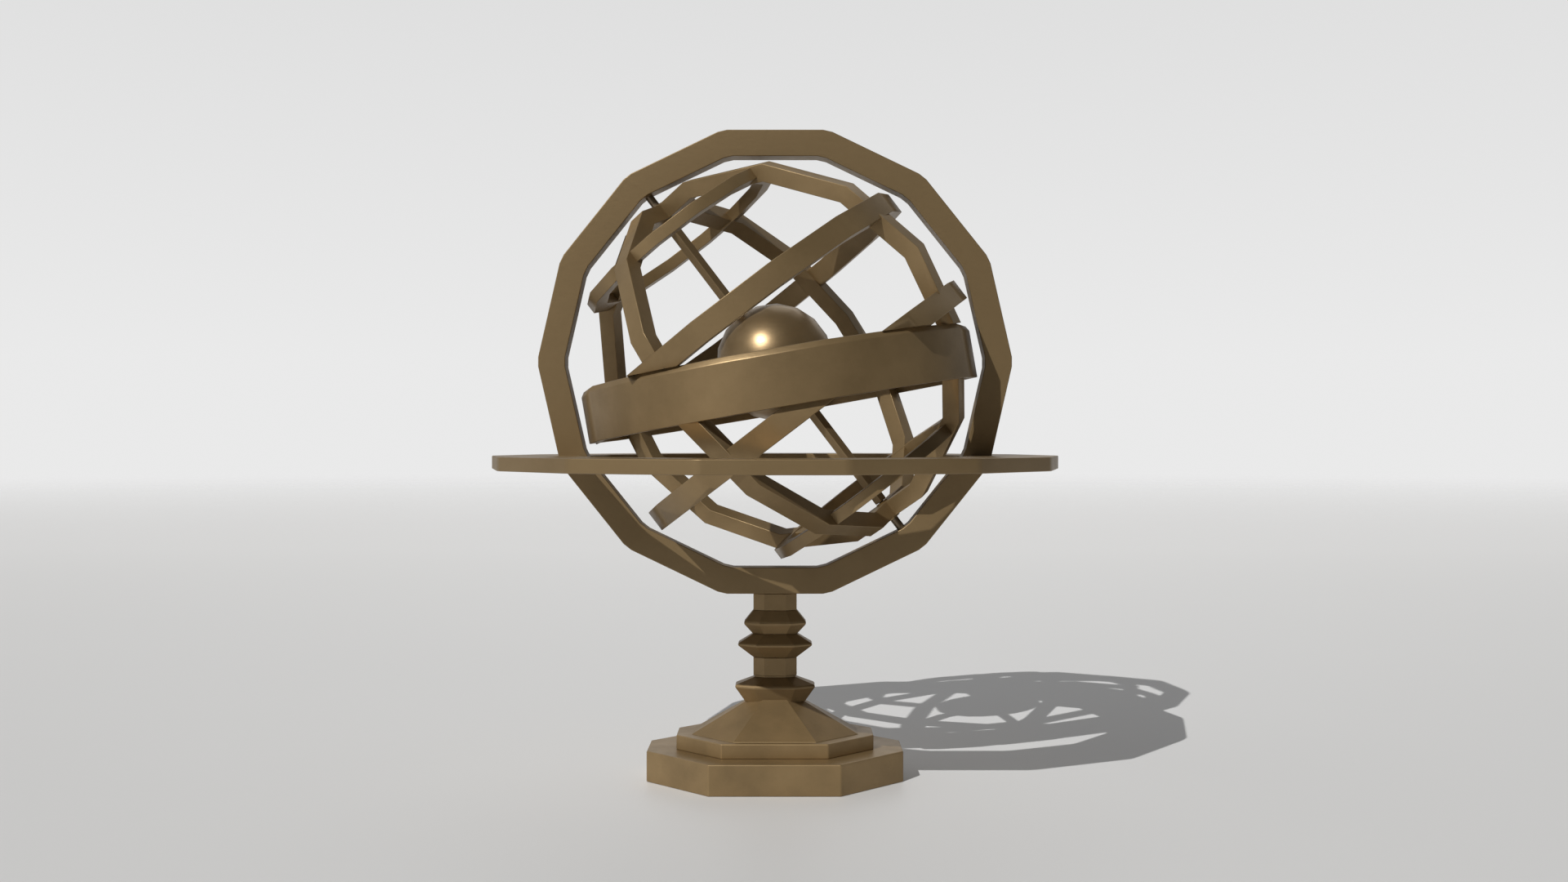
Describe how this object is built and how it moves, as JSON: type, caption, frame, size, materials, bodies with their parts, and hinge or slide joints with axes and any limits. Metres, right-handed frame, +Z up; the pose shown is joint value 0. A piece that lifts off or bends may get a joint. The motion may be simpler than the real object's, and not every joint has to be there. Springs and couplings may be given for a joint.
{
  "type": "armillary sphere",
  "caption": "Desk armillary sphere: faceted bronze rings turning about a tilted polar axis round a small globe, inside a fixed meridian and horizon ring on a stepped stand.",
  "frame": {"origin": "middle of the stand's underside, on the surface it stands on", "axes": "+Z up, +X to the right along the meridian ring, +Y to the back"},
  "size_m": [0.3456, 0.3382, 0.3942],
  "materials": {
    "stand_bronze": "brown aged bronze, semi-matt",
    "fixed_ring_bronze": "brown aged bronze, semi-matt",
    "cage_bronze": "brown aged bronze, satin",
    "globe_bronze": "bronze, polished satin",
    "fitting_brass": "turned brass, satin",
    "fastener_steel": "oiled steel"
  },
  "bodies": {
    "root": {"plinth": "stand_bronze", "base_step": "stand_bronze", "base_skirt": "stand_bronze", "base_knop": "stand_bronze", "stem_washer": "stand_bronze", "lower_stem": "stand_bronze", "lower_knop": "stand_bronze", "upper_knop": "stand_bronze", "stem_cap": "stand_bronze", "tie_rod": "fastener_steel", "tie_washer": "fastener_steel", "tie_nut": "fastener_steel", "meridian_ring": "fixed_ring_bronze", "horizon_ring": "fixed_ring_bronze", "pivot_screw_north": "fastener_steel", "pivot_screw_south": "fastener_steel"},
    "cage": {"colure_a": "cage_bronze", "colure_b": "cage_bronze", "polar_circle_north": "cage_bronze", "polar_circle_south": "cage_bronze", "tropic_north": "cage_bronze", "tropic_south": "cage_bronze", "zodiac_band": "cage_bronze", "pole_bush_north": "fitting_brass", "pole_bush_south": "fitting_brass", "polar_dowels": "fitting_brass", "tropic_dowels": "fitting_brass", "zodiac_dowels": "fitting_brass"},
    "globe": {"axis_rod": "globe_bronze", "globe_ball": "globe_bronze"}
  },
  "joints": [
    {"name": "cage_spin", "type": "hinge", "parent": "root", "child": "cage", "pos_m": [0, 0, 0.2532], "axis": [-0.606, 0, 0.7955], "continuous": true},
    {"name": "globe_spin", "type": "hinge", "parent": "cage", "child": "globe", "pos_m": [0, 0, 0.2532], "axis": [-0.606, 0, 0.7955], "continuous": true}
  ]
}
